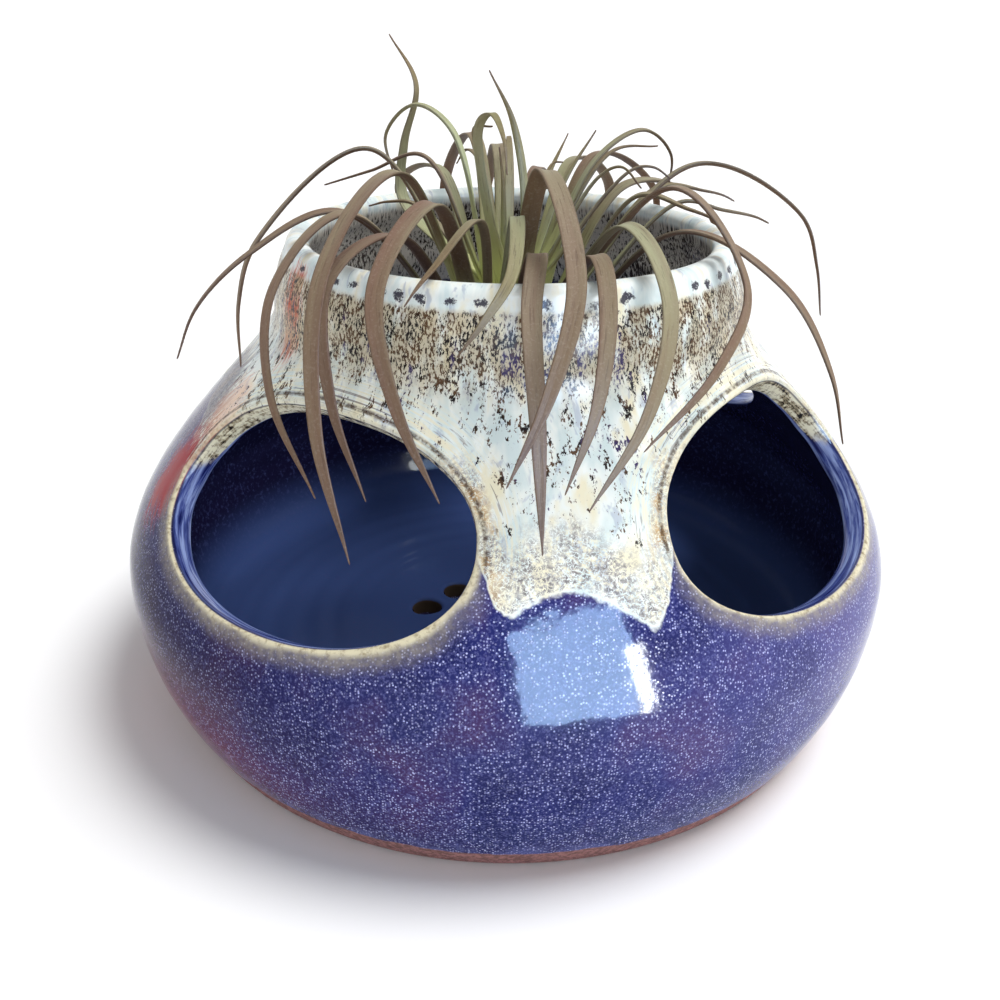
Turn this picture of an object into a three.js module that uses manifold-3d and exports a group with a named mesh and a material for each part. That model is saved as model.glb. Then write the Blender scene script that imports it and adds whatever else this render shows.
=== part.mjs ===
import * as THREE from 'three';
import { mergeVertices } from 'three/addons/utils/BufferGeometryUtils.js';
import Module from 'manifold-3d';

// A thrown strawberry pot with four side openings, and an air plant resting in its mouth.
// Millimetres, +Z up. The origin is the middle of the base, and -Y is the front.
// Azimuths are degrees around the axis: 0 is the front and +90 is +X.

// Pot outline
const potHeight = 138;
const footRadius = 103;
const footEdge = 1.5;
const footFlare = 7;
const footFlareRise = 11;
const bellyRadius = 115;
const bellyHeight = 44;
const bellyFullness = 18;
const shoulderFullness = 28;
const neckRadius = 67;
const neckHeight = 118;
const neckTightness = 12;
const rimRadius = 63;
const collarLean = 9;

// Pot wall and floor
const wall = 7;
const floorThickness = 9;
const floorFillet = 14;
const filletLean = 0.25;

// Side openings, cut square to the shoulder
const openingCount = 4;
const firstOpeningAzimuth = -34.5;
const openingHalfAngle = 31;
const openingSill = 61;
const openingCrown = 105;
const openingSquareness = 2.2;
const cutOutside = 12;
const cutInside = 10;

// Drain holes, a small group punched by hand beside the middle of the floor
const drainCount = 3;
const drainRadius = 4.5;
const drainGroupX = -18;
const drainGroupY = 7;
const drainGroupRadius = 8.5;
const drainTurn = 78;
const drainOverrun = 9;

// Plant stem
const stemRadius = 11;
const stemTopDepth = 18;
const stemLength = 32;
const stemShoulder = 5;

// Leaves
const leafThickness = 1.2;
const leafChannel = 0.12;
const leafGap = 0.4;
const rootShare = 0.5;
const swellLength = 0.25;
const taperLean = 0.25;
const tipWidth = 0.8;
const tipThinness = 0.5;
const rootStagger = 0.8;
const rootPull = 0.5;
const crownRingRadius = 7.5;
const heartRingRadius = 3;
const fallDrop = 0.5;
const fallSwing = 0.5;
const fallReach = 0.7;

// How finely the round forms are cut into flats
const latheSegments = 64;
const bowlSteps = 6;
const shoulderSteps = 12;
const collarSteps = 3;
const lipSteps = 6;
const filletSteps = 4;
const openingSteps = 36;
const openingRings = 3;
const openingHeart = 0.05;
const drainSegments = 20;
const stemSegments = 20;
const stemTailSteps = 4;
const hangingSteps = 16;
const crownSteps = 10;
const halvings = 40;
const mergeTolerance = 1e-4;

// Leaves that arch over the rim, in order around the plant. Each has its width, and three places on its
// way as [azimuth, distance out, height over the rim]: the crest, the turn past the rim and the tip. The
// crest is measured out from the axis, the turn and the tip from the pot's wall at their height.
const hangingLeaves = [
  { name: 'leaf_back_1', width: 5.5, crest: [-174, 40, 15], turn: [-174, 6, 2], tip: [-170, 9, -38] },
  { name: 'leaf_back_2', width: 5, crest: [-162, 36, 19], turn: [-163, 8, 3], tip: [-166, 14, -46] },
  { name: 'leaf_back_3', width: 5, crest: [-149, 42, 9], turn: [-149, 6, 0], tip: [-155, 8, -26] },
  { name: 'leaf_left_arch', width: 5, crest: [-88, 39, 21], turn: [-80, 3, -2], tip: [-63, 7, -30] },
  { name: 'leaf_left_low', width: 4.5, crest: [-70, 48, 7], turn: [-71, 6, -3], tip: [-71, 22, -30] },
  { name: 'leaf_left_front', width: 5, crest: [-61, 48, 8], turn: [-51, 7, -5], tip: [-28, 8, -45] },
  { name: 'leaf_left_wide', width: 6.5, crest: [-51, 36, 18], turn: [-34, 9, 3], tip: [-20, 7, -55] },
  { name: 'leaf_opening_1', width: 5.5, crest: [-39, 45, 5], turn: [-37, 4, -1], tip: [-21, 4, -45] },
  { name: 'leaf_opening_2', width: 6.5, crest: [-28, 40, 13], turn: [-24, 7, 0], tip: [-9, 11, -41] },
  { name: 'leaf_front_short', width: 3.5, crest: [-14, 32, 8], turn: [-17, -6, 3], tip: [-19, 6, -3] },
  { name: 'leaf_front_pale', width: 5, crest: [2, 40, 11], turn: [0, 0, 3], tip: [-9, 8, -13] },
  { name: 'leaf_front_wide', width: 6.5, crest: [7, 52, 5], turn: [4, 3, -3], tip: [5, 6, -51] },
  { name: 'leaf_front_arch', width: 6.5, crest: [11, 40, 22], turn: [11, 9, 4], tip: [0, 25, -33] },
  { name: 'leaf_front_right', width: 6, crest: [23, 52, 4], turn: [18, 5, -3], tip: [8, 14, -38] },
  { name: 'leaf_right_front', width: 6, crest: [37, 46, 9], turn: [30, 6, -2], tip: [11, 14, -41] },
  { name: 'leaf_right_sweep', width: 5, crest: [55, 50, 17], turn: [56, 4, -4], tip: [23, 5, -35] },
  { name: 'leaf_right_long', width: 5, crest: [61, 50, 5], turn: [63, 11, -6], tip: [70, 8, -50] },
  { name: 'leaf_right_short', width: 4.5, crest: [67, 36, 12], turn: [67, -17, 10], tip: [66, -6, 6] },
  { name: 'leaf_right_tip_1', width: 3.5, crest: [88, 46, 8], turn: [90, -8, 6], tip: [92, 6, 2] },
  { name: 'leaf_right_arch', width: 5, crest: [98, 52, 17], turn: [91, 14, 5], tip: [88, 22, -23] },
  { name: 'leaf_right_tip_2', width: 3.5, crest: [108, 44, 9], turn: [107, -8, 8], tip: [105, 1, 5] },
  { name: 'leaf_back_right_1', width: 5, crest: [128, 42, 7], turn: [126, 6, 1], tip: [120, 12, -34] },
  { name: 'leaf_back_right_2', width: 4.5, crest: [141, 38, 15], turn: [141, 7, 1], tip: [143, 12, -28] },
  { name: 'leaf_back_4', width: 5.5, crest: [154, 40, 12], turn: [154, 7, 1], tip: [160, 8, -44] },
  { name: 'leaf_back_5', width: 5, crest: [171, 42, 7], turn: [171, 5, 0], tip: [172, 9, -30] },
];

// Leaves that stand up or curl over inside the mouth, in order around the plant. Each has its width and
// places on its way as [azimuth, distance from the axis, height over the rim], the last being its tip.
const crownLeaves = [
  { name: 'crown_leaf_back', width: 4, path: [[-178, 20, 12], [-178, 32, 20], [-178, 42, 14]] },
  { name: 'crown_leaf_back_left', width: 4, path: [[-154, 20, 14], [-153, 30, 17], [-152, 36, 12]] },
  {
    name: 'crown_leaf_tall', width: 6,
    path: [[-132, 45, 2], [-132, 44, 18], [-132, 38, 35], [-132, 49, 48]],
  },
  { name: 'crown_leaf_left_low', width: 4, path: [[-117, 31, 3], [-117, 41, 3], [-117, 48, 1]] },
  { name: 'crown_leaf_left_thin', width: 3, path: [[-107, 26, 18], [-106, 42, 13], [-106, 57, 8]] },
  {
    name: 'crown_leaf_green_arch', width: 6,
    path: [[-96, 17, 26], [-96, 27, 32], [-96, 35, 24], [-96, 33, 13]],
  },
  {
    name: 'crown_leaf_front_curl', width: 4.5,
    path: [[-30, 18, 28], [-12, 24, 33], [-4, 30, 28], [-2, 33, 20]],
  },
  { name: 'crown_leaf_right_curl', width: 4, path: [[82, 24, 15], [80, 30, 18], [76, 36, 13]] },
  { name: 'crown_leaf_right_low', width: 4, path: [[93, 33, 16], [92, 39, 17], [91, 44, 14]] },
  {
    name: 'crown_leaf_right_arch', width: 5,
    path: [[111, 26, 18], [111, 40, 25], [111, 49, 18], [111, 49, 8]],
  },
  { name: 'crown_leaf_right_thin', width: 3, path: [[122, 33, 18], [122, 51, 19]] },
  { name: 'crown_leaf_spike_1', width: 3, path: [[134, 21, 10], [131, 32, 24]] },
  { name: 'crown_leaf_spike_2', width: 3, path: [[152, 20, 8], [150, 33, 22]] },
];

// Leaves in the heart of the rosette, standing on the middle of the stem.
const heartLeaves = [
  { name: 'heart_leaf_left', width: 4, path: [[-80, 8, 14], [-60, 12, 27], [-20, 15, 29]] },
  { name: 'heart_leaf_thin', width: 2.5, path: [[-23, 6, 12], [-26, 8, 23]] },
  { name: 'heart_leaf_spike', width: 4, path: [[40, 6, 8], [0, 5, 29], [-40, 10, 42]] },
  { name: 'heart_leaf_stub', width: 3.5, path: [[70, 7, 6], [75, 8, 14]] },
  { name: 'heart_leaf_hook', width: 3, path: [[115, 9, 8], [134, 16, 16], [133, 20, 16]] },
];

const manifold = await Module();
manifold.setup();

const degrees = Math.PI / 180;
const flat = (radius, height) => new THREE.Vector2(radius, height);

// A point from its azimuth, its distance from the axis and its height.
function around(azimuth, radius, height) {
  const angle = azimuth * degrees;
  return new THREE.Vector3(radius * Math.sin(angle), -radius * Math.cos(angle), height);
}

// The outside of the pot, from the foot to the collar's top edge.
const lipRadius = wall / 2;
const collarTop = potHeight - lipRadius;
const bowlCurve = new THREE.CubicBezierCurve(
  flat(footRadius, footEdge),
  flat(footRadius + footFlare, footEdge + footFlareRise),
  flat(bellyRadius, bellyHeight - bellyFullness),
  flat(bellyRadius, bellyHeight),
);
const shoulderCurve = new THREE.CubicBezierCurve(
  flat(bellyRadius, bellyHeight),
  flat(bellyRadius, bellyHeight + shoulderFullness),
  flat(neckRadius, neckHeight - neckTightness),
  flat(neckRadius, neckHeight),
);
const collarCurve = new THREE.QuadraticBezierCurve(
  flat(neckRadius, neckHeight),
  flat(neckRadius, neckHeight + collarLean),
  flat(rimRadius, collarTop),
);

// Where a rising curve passes a height, as a share of its length.
function shareAtHeight(curve, height) {
  let low = 0;
  let high = 1;
  for (let i = 0; i < halvings; i += 1) {
    const middle = (low + high) / 2;
    if (curve.getPointAt(middle).y < height) low = middle;
    else high = middle;
  }
  return (low + high) / 2;
}

// The pot's outside radius at a height. From the neck up it is the collar's at its widest.
function outsideRadius(height) {
  if (height >= neckHeight) return Math.max(neckRadius, rimRadius);
  const curve = height < bellyHeight ? bowlCurve : shoulderCurve;
  return curve.getPointAt(shareAtHeight(curve, height)).x;
}

// A place on a curve of the outside, moved along the surface's outward normal.
function offsetPoint(curve, share, distance) {
  const point = curve.getPointAt(share);
  const along = curve.getTangentAt(share);
  return flat(point.x + along.y * distance, point.y - along.x * distance);
}

function sampled(curve, steps, distance = 0) {
  return Array.from({ length: steps + 1 }, (_, i) => offsetPoint(curve, i / steps, distance));
}

function toSolid(geometry) {
  const bare = geometry.clone();
  bare.deleteAttribute('normal');
  bare.deleteAttribute('uv');
  const merged = mergeVertices(bare, mergeTolerance);
  return new manifold.Manifold(new manifold.Mesh({
    numProp: 3,
    vertProperties: new Float32Array(merged.attributes.position.array),
    triVerts: new Uint32Array(merged.index.array),
  }));
}

function toGeometry(solid) {
  const mesh = solid.getMesh();
  const geometry = new THREE.BufferGeometry();
  geometry.setAttribute('position', new THREE.BufferAttribute(mesh.vertProperties, 3));
  geometry.setIndex(new THREE.BufferAttribute(mesh.triVerts, 1));
  geometry.computeVertexNormals();
  return geometry;
}

// A closed skin through rings of points, with a flat end on the first ring and on the last.
function loft(rings) {
  const sides = rings[0].length;
  const positions = rings.flat().flatMap((point) => point.toArray());
  const index = [];
  for (let r = 0; r + 1 < rings.length; r += 1) {
    for (let s = 0; s < sides; s += 1) {
      const a = r * sides + s;
      const b = r * sides + (s + 1) % sides;
      index.push(a, b, b + sides, a, b + sides, a + sides);
    }
  }
  const last = (rings.length - 1) * sides;
  for (let s = 1; s + 1 < sides; s += 1) {
    index.push(0, s + 1, s, last, last + s, last + s + 1);
  }
  const geometry = new THREE.BufferGeometry();
  geometry.setAttribute('position', new THREE.Float32BufferAttribute(positions, 3));
  geometry.setIndex(index);
  geometry.computeVertexNormals();
  return geometry;
}

// Pot: the thrown shell, turned about the axis.
function potShell() {
  const lipCentre = flat(rimRadius - lipRadius, collarTop);
  const lip = [];
  for (let i = 1; i < lipSteps; i += 1) {
    const angle = Math.PI * i / lipSteps;
    lip.push(flat(lipCentre.x + lipRadius * Math.cos(angle), lipCentre.y + lipRadius * Math.sin(angle)));
  }
  const insideCollar = sampled(collarCurve, collarSteps, -wall);
  const insideShoulder = sampled(shoulderCurve, shoulderSteps, -wall);
  const insideBowl = sampled(bowlCurve, bowlSteps, -wall);
  const inside = [...insideBowl, ...insideShoulder.slice(1), ...insideCollar.slice(1, -1)].reverse();
  const wallFoot = floorThickness + floorFillet;
  const insideWall = inside.filter((point) => point.y > wallFoot);
  const wallEnd = insideWall[insideWall.length - 1];
  const fillet = new THREE.QuadraticBezierCurve(
    wallEnd,
    flat(wallEnd.x - filletLean * floorFillet, floorThickness),
    flat(wallEnd.x - floorFillet, floorThickness),
  );
  const profile = [
    flat(0, 0),
    flat(footRadius - footEdge, 0),
    ...sampled(bowlCurve, bowlSteps),
    ...sampled(shoulderCurve, shoulderSteps).slice(1),
    ...sampled(collarCurve, collarSteps).slice(1),
    ...lip,
    flat(rimRadius - wall, collarTop),
    ...insideWall,
    ...fillet.getPoints(filletSteps).slice(1),
    flat(0, floorThickness),
  ];
  const shell = new THREE.LatheGeometry(profile, latheSegments);
  shell.rotateX(Math.PI / 2);
  return toSolid(shell);
}

// One side opening: a thick patch that follows the shoulder and passes through the wall.
function openingCutter(azimuth) {
  const low = shareAtHeight(shoulderCurve, openingSill);
  const high = shareAtHeight(shoulderCurve, openingCrown);
  const rounded = (value) => Math.sign(value) * Math.abs(value) ** (2 / openingSquareness);
  const patchPoint = (ring, step, distance) => {
    const angle = 2 * Math.PI * step / openingSteps;
    const share = (low + high) / 2 + ring * rounded(Math.sin(angle)) * (high - low) / 2;
    const turn = azimuth + ring * rounded(Math.cos(angle)) * openingHalfAngle;
    const place = offsetPoint(shoulderCurve, share, distance);
    return around(turn, place.x, place.y);
  };
  const ringOf = (ring, distance) => Array.from(
    { length: openingSteps },
    (_, step) => patchPoint(ring, step, distance),
  );
  const reaches = Array.from(
    { length: openingRings + 1 },
    (_, i) => THREE.MathUtils.lerp(openingHeart, 1, i / openingRings),
  );
  const outer = reaches.map((ring) => ringOf(ring, cutOutside));
  const inner = reaches.map((ring) => ringOf(ring, -wall - cutInside));
  return toSolid(loft([...inner, ...outer.reverse()]));
}

function drainCutter(index) {
  const angle = (drainTurn + 360 * index / drainCount) * degrees;
  const reach = floorThickness + 2 * drainOverrun;
  const hole = new THREE.CylinderGeometry(drainRadius, drainRadius, reach, drainSegments);
  hole.rotateX(Math.PI / 2);
  hole.translate(
    drainGroupX + drainGroupRadius * Math.cos(angle),
    drainGroupY + drainGroupRadius * Math.sin(angle),
    floorThickness / 2,
  );
  return toSolid(hole);
}

function potBody() {
  let solid = potShell();
  for (let i = 0; i < openingCount; i += 1) {
    solid = solid.subtract(openingCutter(firstOpeningAzimuth + 360 * i / openingCount));
  }
  for (let i = 0; i < drainCount; i += 1) {
    solid = solid.subtract(drainCutter(i));
  }
  return toGeometry(solid);
}

// Stem: a short rounded stump hanging in the mouth.
const stemTop = potHeight - stemTopDepth;
const stemBottom = stemTop - stemLength;

function plantStem() {
  const tail = new THREE.QuadraticBezierCurve(
    flat(0, stemBottom),
    flat(stemRadius, stemBottom),
    flat(stemRadius, stemBottom + stemShoulder),
  );
  const profile = [...tail.getPoints(stemTailSteps), flat(stemRadius, stemTop), flat(0, stemTop)];
  const stem = new THREE.LatheGeometry(profile, stemSegments);
  stem.rotateX(Math.PI / 2);
  return toGeometry(toSolid(stem));
}

// Leaf: a channelled strap along a curve, narrow at its root and drawn out to a point.
function leafBlade(points, width, steps) {
  const curve = new THREE.CatmullRomCurve3(points, false, 'centripetal');
  const rings = [];
  for (let i = 0; i <= steps; i += 1) {
    const share = i / steps;
    const place = curve.getPointAt(share);
    const along = curve.getTangentAt(share);
    const outward = new THREE.Vector3(place.x, place.y, 0).normalize();
    const side = new THREE.Vector3(-outward.y, outward.x, 0);
    side.addScaledVector(along, -side.dot(along)).normalize();
    const face = new THREE.Vector3().crossVectors(along, side);
    const swell = Math.min(1, THREE.MathUtils.lerp(rootShare, 1, share / swellLength));
    const taper = Math.sqrt(1 - share) * (1 - taperLean * share);
    const half = Math.max(tipWidth, width * swell * taper) / 2;
    const thick = leafThickness * THREE.MathUtils.lerp(tipThinness, 1, taper) / 2;
    const lift = 2 * half * leafChannel;
    const corner = (across, up) => place.clone().addScaledVector(side, across).addScaledVector(face, up);
    rings.push([corner(-half, lift), corner(0, -thick), corner(half, lift), corner(0, thick)]);
  }
  return loft(rings);
}

// Colours and materials
const glaze = new THREE.MeshStandardMaterial({ color: 0x3c3f86, roughness: 0.2, metalness: 0 });
const stemTone = new THREE.MeshStandardMaterial({ color: 0x6d6a45, roughness: 0.7, metalness: 0 });
const hangingTone = new THREE.MeshStandardMaterial({ color: 0x7a6a58, roughness: 0.6, metalness: 0 });
const crownTone = new THREE.MeshStandardMaterial({ color: 0x7c8a5e, roughness: 0.6, metalness: 0 });

const strawberryPot = new THREE.Group();
const plant = new THREE.Group();
strawberryPot.add(plant);

function addPiece(parent, name, geometry, material) {
  const piece = new THREE.Mesh(geometry, material);
  piece.name = name;
  parent.add(piece);
}

addPiece(strawberryPot, 'pot_body', potBody(), glaze);
addPiece(plant, 'plant_stem', plantStem(), stemTone);

// Roots stand around the stem in the order of the lists, part of the way from an even spread to the leaf's
// own side.
function rootAzimuth(azimuth, index, count) {
  const even = -180 + 360 * (index + 0.5) / count;
  return THREE.MathUtils.lerp(even, azimuth, rootPull);
}

const overRim = ([azimuth, radius, height]) => around(azimuth, radius, potHeight + height);

// The lower a leaf's crest, the lower it grows on the stem.
function addHanging(list) {
  const highest = Math.max(...list.map(({ crest }) => crest[2]));
  list.forEach(({ name, width, crest, turn, tip }, index) => {
    const side = rootAzimuth(crest[0], index, list.length);
    const level = stemTop - stemShoulder - rootStagger * (highest - crest[2]);
    const offWall = ([azimuth, out, height]) => [azimuth, outsideRadius(potHeight + height) + out, height];
    const from = offWall(turn);
    const to = offWall(tip);
    const shares = [fallSwing, fallReach, fallDrop];
    const fall = shares.map((share, i) => THREE.MathUtils.lerp(from[i], to[i], share));
    const points = [
      around(side, stemRadius + leafGap + leafThickness, level),
      ...[crest, from, fall, to].map(overRim),
    ];
    addPiece(plant, name, leafBlade(points, width, hangingSteps), hangingTone);
  });
}

function addStanding(list, ringRadius) {
  list.forEach(({ name, width, path }, index) => {
    const side = rootAzimuth(path[0][0], index, list.length);
    const points = [
      around(side, ringRadius, stemTop + leafGap + leafThickness),
      ...path.map(overRim),
    ];
    addPiece(plant, name, leafBlade(points, width, crownSteps), crownTone);
  });
}

addHanging(hangingLeaves);
addStanding(crownLeaves, crownRingRadius);
addStanding(heartLeaves, heartRingRadius);

export default strawberryPot;
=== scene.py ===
from math import copysign, cos, hypot, inf, pi, radians, sin, sqrt

import bmesh
import bpy
import numpy as np
from mathutils import Matrix


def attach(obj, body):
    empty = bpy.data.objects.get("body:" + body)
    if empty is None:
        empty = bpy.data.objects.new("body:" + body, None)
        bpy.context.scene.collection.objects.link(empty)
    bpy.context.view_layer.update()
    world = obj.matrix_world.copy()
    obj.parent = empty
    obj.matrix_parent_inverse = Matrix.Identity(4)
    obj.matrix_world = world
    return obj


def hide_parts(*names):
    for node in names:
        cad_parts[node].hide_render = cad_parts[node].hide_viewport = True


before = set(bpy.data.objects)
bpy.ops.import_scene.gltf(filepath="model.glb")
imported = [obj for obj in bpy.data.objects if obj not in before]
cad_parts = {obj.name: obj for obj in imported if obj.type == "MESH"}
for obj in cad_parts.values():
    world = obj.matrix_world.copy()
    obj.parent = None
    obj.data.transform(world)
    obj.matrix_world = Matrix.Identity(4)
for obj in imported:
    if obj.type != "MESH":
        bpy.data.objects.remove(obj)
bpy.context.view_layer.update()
print("frame loaded:", len(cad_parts), "nodes")

mm = 0.001  # shapes are written in millimetres and scaled when a mesh is made


# Colours are given as they look on a screen
def tint(red, green, blue):
    linear = []
    for part in (red, green, blue):
        share = part / 255
        linear.append(share / 12.92 if share < 0.04 else ((share + 0.055) / 1.055) ** 2.4)
    return (*linear, 1.0)


def tints(**colours):
    return {name: tint(*colour) for name, colour in colours.items()}


def smoothStep(low, high, value):
    share = np.clip((value - low) / (high - low), 0, 1)
    return share * share * (3 - 2 * share)


def makePiece(name, points, faces, attributes, material, levels=1):
    mesh = bpy.data.meshes.new(name)
    mesh.from_pydata((np.asarray(points) * mm).tolist(), [], faces)
    for key, values in attributes.items():
        values = np.asarray(values, dtype=np.float32)
        kind, field = ("FLOAT", "value") if values.ndim == 1 else ("FLOAT_VECTOR", "vector")
        mesh.attributes.new(key, kind, "POINT").data.foreach_set(field, values.ravel())
    shape = bmesh.new()
    shape.from_mesh(mesh)
    bmesh.ops.recalc_face_normals(shape, faces=shape.faces)
    shape.to_mesh(mesh)
    shape.free()
    mesh.shade_smooth()
    mesh.materials.append(material)
    piece = bpy.data.objects.new(name, mesh)
    bpy.context.scene.collection.objects.link(piece)
    if levels:
        smoother = piece.modifiers.new("smooth", "SUBSURF")
        smoother.levels = levels
        smoother.render_levels = levels
    return piece


# Quads between two rings with the same number of points
def quadsBetween(first, second):
    return np.stack([first, np.roll(first, -1), np.roll(second, -1), second], axis=1).tolist()


# Faces of a tube of rings, closed at both ends
def tubeFaces(rows, segments):
    rings = np.arange(rows * segments).reshape(rows, segments)
    faces = []
    for first, second in zip(rings, rings[1:]):
        faces += quadsBetween(first, second)
    return faces + [rings[0].tolist(), rings[-1].tolist()]


# Node shorthand: a value or a socket can go into any input
class Nodes:
    def __init__(self, owner, patterns=None, limits=None):
        self.owner, self.patterns, self.limits = owner, patterns, limits
        owner.use_nodes = True
        self.tree = owner.node_tree
        self.tree.nodes.clear()

    def add(self, kind, inputs, **settings):
        node = self.tree.nodes.new("ShaderNode" + kind)
        for key, value in settings.items():
            setattr(node, key, value)
        for key, value in inputs.items():
            if isinstance(value, bpy.types.NodeSocket):
                self.tree.links.new(value, node.inputs[key])
            else:
                node.inputs[key].default_value = value
        return node

    def attribute(self, name, output="Fac"):
        return self.add("Attribute", {}, attribute_name=name).outputs[output]

    def place(self):
        return self.add("TexCoord", {}).outputs["Object"]

    def math(self, operation, *values):
        return self.add("Math", dict(enumerate(values)), operation=operation).outputs[0]

    def line(self, value, slope, start):
        return self.math("MULTIPLY_ADD", value, slope, start)

    def plus(self, first, *others):
        for other in others:
            first = self.math("ADD", first, other)
        return first

    def times(self, first, *others):
        for other in others:
            first = self.math("MULTIPLY", first, other)
        return first

    def step(self, value, low, high, start=0.0, end=1.0, shape="SMOOTHSTEP"):
        inputs = {"Value": value, "From Min": low, "From Max": high, "To Min": start, "To Max": end}
        return self.add("MapRange", inputs, interpolation_type=shape).outputs["Result"]

    # Comes in over the first window and goes out over the second
    def between(self, value, windows):
        return [self.step(value, *window) for window in windows]

    def pattern(self, name, vector):
        inputs = dict(zip(("Scale", "Detail", "Roughness", "Distortion"), self.patterns[name]))
        return self.add("TexNoise", {"Vector": vector, **inputs}).outputs["Fac"]

    # A pattern that shows between its own limits
    def patch(self, name, vector):
        return self.step(self.pattern(name, vector), *self.limits[name])

    # A pattern that strays as far up as down
    def wander(self, name, vector):
        reach = self.limits[name]
        return self.line(self.pattern(name, vector), reach, -reach / 2)

    def cellTone(self, vector, scale):
        node = self.add("TexVoronoi", {"Vector": vector, "Scale": scale})
        tone = self.add("SeparateColor", {"Color": node.outputs["Color"]})
        return node.outputs["Distance"], tone.outputs["Red"]

    # Draws a pattern out along the third axis
    def drawn(self, vector, share):
        return self.add("VectorMath", {0: vector, 1: (1, 1, share)}, operation="MULTIPLY").outputs[0]

    def ramp(self, value, palette, *stops):
        node = self.add("ValToRGB", {"Fac": value})
        band = node.color_ramp.elements
        while len(band) < len(stops):
            band.new(0.5)
        for element, (position, name) in zip(band, stops):
            element.position = position
            element.color = palette[name]
        return node.outputs["Color"]

    def mix(self, share, first, second):
        return self.add("Mix", {0: share, 6: first, 7: second}, data_type="RGBA").outputs[2]

    def finish(self, colour, roughness, specular, bump=None, relief=None):
        inputs = {"Base Color": colour, "Roughness": roughness, "Specular IOR Level": specular}
        if bump:
            strength, distance = bump
            raised = self.add("Bump", {"Strength": strength, "Distance": distance, "Height": relief})
            inputs["Normal"] = raised.outputs[0]
        shader = self.add("BsdfPrincipled", inputs)
        self.add("OutputMaterial", {"Surface": shader.outputs[0]})
        return self.owner


def newMaterial(name, patterns, limits):
    return Nodes(bpy.data.materials.new(name), patterns, limits)


# The pot's outside line, from the foot to the top of the collar
pot = {
    "height": 138, "footRadius": 103, "footEdge": 1.5, "footFlare": 7, "footFlareRise": 11,
    "bellyRadius": 115, "bellyHeight": 44, "bellyFullness": 18, "shoulderFullness": 28,
    "neckRadius": 67, "neckHeight": 118, "neckTightness": 12, "rimRadius": 63, "collarLean": 9,
    "wall": 7, "floor": 9, "fillet": 14, "filletLean": 3,
    "segments": 48,  # around each quarter of the pot
    "bowlRows": 26, "collarRows": 12, "rimRows": 10, "insideRows": 14, "filletRows": 6, "floorRows": 60,
    "patchLow": 50, "patchHigh": 114,  # heights between which the openings are worked in
    "discRadius": 40,  # the flat middle of the floor, where the drain holes are
    "baseRings": (62, 84), "footRound": ((-3, 0), (-1.3, 0.12), (-0.5, 0.6)),
    # Rings left by the fingers, fainter outside and faded out at the edges of the floor
    "ringPitch": 9.5, "ringHeight": 0.16, "ringOutside": 0.25, "ringFadeIn": 12, "ringFadeOut": 8,
    # Slow waves of a thrower's hand: height, number round the pot, start, and climb per radian
    "handWaves": ((0.15, 2, 0.6, inf), (0.105, 3, 2.1, 45), (0.075, 5, -1.3, 23)),
    "rimWave": 0.35, "rimWaveStart": 0.8,
}
openings = {
    "count": 4, "first": -34.5, "halfAngle": 30.3, "sill": 62.3, "crown": 106, "squareness": 2.2,
    "lipRound": 1.7, "lipSquareness": 3, "lipRows": 14, "rings": 14, "ringCrowd": 1.25, "sideSegments": 26,
    "millimetresPerDegree": 1.66, "unevenness": 0.008, "unevenTurn": 2.3,
}
# Drain holes: the edges are radius, then height over the floor's top or over the base
drains = {
    "centre": (-18, 7), "ringRadius": 8.5, "turns": (78, 198, 318), "segments": 28,
    "topEdge": ((6.6, 0), (5.8, 0.25), (4.85, -0.35), (4.5, -1.3), (4.5, -4.5)),
    "baseEdge": ((4.5, 1.2), (5, 0.15), (5.7, 0)),
    "waves": ((0.05, 2, 1), (0.03, 3, 2)),  # share, number round the hole, start per hole
}
spacing = 360 / openings["count"]


def bezier(controls, count=240):
    share = np.linspace(0, 1, count)[:, None]
    level = [np.repeat(np.array([point], dtype=float), count, axis=0) for point in controls]
    while len(level) > 1:
        level = [a * (1 - share) + b * share for a, b in zip(level, level[1:])]
    return level[0]


lipRadius = pot["wall"] / 2
collarTop = pot["height"] - lipRadius
bellyPlace, neckPlace = (pot["bellyRadius"], pot["bellyHeight"]), (pot["neckRadius"], pot["neckHeight"])
bowlLine = bezier([
    (pot["footRadius"], pot["footEdge"]),
    (pot["footRadius"] + pot["footFlare"], pot["footEdge"] + pot["footFlareRise"]),
    (pot["bellyRadius"], pot["bellyHeight"] - pot["bellyFullness"]), bellyPlace,
])
shoulderLine = bezier([
    bellyPlace, (pot["bellyRadius"], pot["bellyHeight"] + pot["shoulderFullness"]),
    (pot["neckRadius"], pot["neckHeight"] - pot["neckTightness"]), neckPlace,
])
collarLine = bezier([
    neckPlace, (pot["neckRadius"], pot["neckHeight"] + pot["collarLean"]), (pot["rimRadius"], collarTop),
])
outside = np.vstack([bowlLine, shoulderLine[1:], collarLine[1:]])


# How far along a line each of its points is
def lengthAlong(line):
    return np.concatenate([[0], np.cumsum(np.linalg.norm(np.diff(line, axis=0), axis=1))])


walk = lengthAlong(outside)
heading = np.gradient(outside, walk, axis=0)
heading /= np.linalg.norm(heading, axis=1)[:, None]


def walkAt(height):
    return float(np.interp(height, outside[:, 1], walk))


# Radius and height of a place in the wall, from its way along the outside and its depth
def wallPlace(way, depth):
    radius = np.interp(way, walk, outside[:, 0]) - depth * np.interp(way, walk, heading[:, 1])
    height = np.interp(way, walk, outside[:, 1]) + depth * np.interp(way, walk, heading[:, 0])
    return radius, height


def outsideRadius(height):
    if height >= pot["neckHeight"]:
        return max(pot["neckRadius"], pot["rimRadius"])
    return float(np.interp(height, outside[:, 1], outside[:, 0]))


def fingerRings(way, azimuth):
    return pot["ringHeight"] * np.sin(2 * np.pi * way / pot["ringPitch"] + np.radians(azimuth))


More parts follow.
